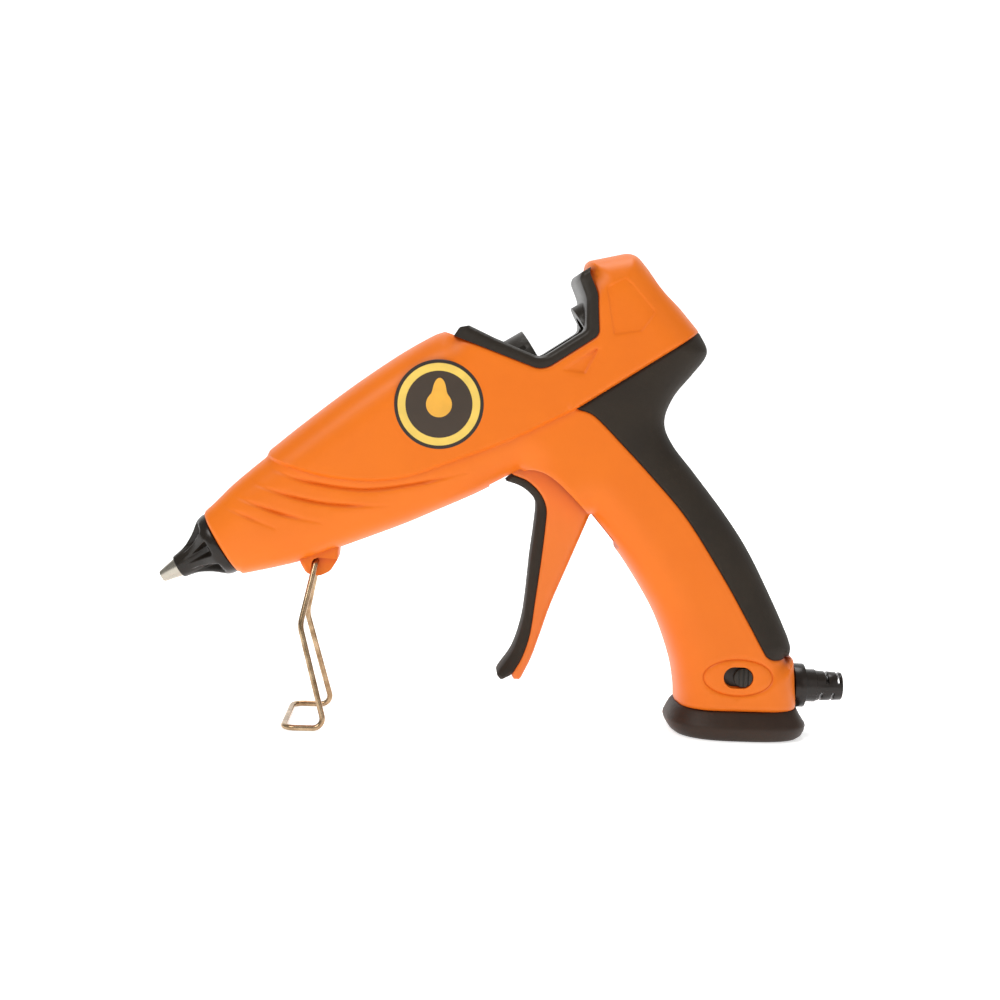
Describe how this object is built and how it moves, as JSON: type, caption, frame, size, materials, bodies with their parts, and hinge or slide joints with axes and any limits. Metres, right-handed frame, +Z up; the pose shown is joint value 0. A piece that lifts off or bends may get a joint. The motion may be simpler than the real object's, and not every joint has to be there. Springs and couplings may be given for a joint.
{
  "type": "hot melt glue gun",
  "caption": "Full-size hot melt glue gun with lever trigger, soft grip, fold-away wire stand, rubber foot and on/off slide switch; takes 11 mm glue sticks.",
  "frame": {"origin": "middle of the object on the surface it stands on", "axes": "+X from the nozzle towards the handle and cord, +Y to the right-hand side, +Z up"},
  "size_m": [0.2416, 0.042, 0.168],
  "materials": {
    "orange_plastic": "moulded nylon, fine satin texture",
    "black_plastic": "moulded glass-filled nylon, fine matte texture",
    "soft_grip": "soft thermoplastic elastomer, matte",
    "silicone": "moulded silicone, slightly glossy",
    "aluminium": "turned and die cast aluminium",
    "steel": "bright drawn steel, nickel plated",
    "ceramic": "insulated ceramic heater in foil",
    "insulator": "heat resistant moulded insulator",
    "label": "printed vinyl label",
    "lead_cover": "silicone covered wire"
  },
  "bodies": {
    "root": {"left_casing": "orange_plastic", "right_casing": "orange_plastic", "grip_pad_left": "soft_grip", "grip_pad_right": "soft_grip", "badge": "label", "recess_trim": "black_plastic", "rubber_foot": "soft_grip", "strain_relief": "black_plastic", "cord_clamp": "black_plastic", "clamp_screws": "steel", "switch_body": "insulator", "terminal_block": "insulator", "power_leads": "lead_cover", "trigger_pivot_pin": "steel", "nozzle": "aluminium", "nozzle_boot": "silicone", "melt_chamber": "aluminium", "heater_element": "ceramic", "chamber_rings": "insulator", "feed_sleeve": "silicone", "sleeve_clamp": "steel", "return_spring": "steel", "front_stick_guide": "black_plastic", "rear_stick_guide": "black_plastic", "casing_screws": "steel"},
    "trigger": {"trigger": "orange_plastic", "trigger_pad": "soft_grip"},
    "carriage": {"feed_carriage": "black_plastic"},
    "jaw": {"gripper_jaw": "steel"},
    "knob": {"switch_knob": "black_plastic"},
    "stand": {"wire_stand": "steel"}
  },
  "joints": [
    {"name": "trigger_squeeze", "type": "hinge", "parent": "root", "child": "trigger", "pos_m": [-0.00069, 0, 0.0972], "axis": [0, -1, 0], "range_deg": [0, 19], "stiffness_Nm_per_rad": 1.2, "springref_deg": -8.59, "deforming": ["return_spring"]},
    {"name": "carriage_feed", "type": "slide", "parent": "root", "child": "carriage", "axis": [-0.848, 0, -0.5299], "range_m": [0, 0.0074]},
    {"name": "jaw_bite", "type": "hinge", "parent": "carriage", "child": "jaw", "pos_m": [-0.01247, 0, 0.12662], "axis": [0, -1, 0], "range_deg": [0, 6.01]},
    {"name": "switch_slide", "type": "slide", "parent": "root", "child": "knob", "axis": [-1, 0, 0], "range_m": [0, 0.0033]},
    {"name": "stand_fold", "type": "hinge", "parent": "root", "child": "stand", "pos_m": [-0.0661, 0, 0.0567], "axis": [0, -1, 0], "range_deg": [0, 105]}
  ],
  "couplings": [
    {"joint": "carriage_feed", "follows": "trigger_squeeze", "m_per_rad": 0.022204},
    {"joint": "jaw_bite", "follows": "trigger_squeeze", "ratio": 0.31579}
  ]
}
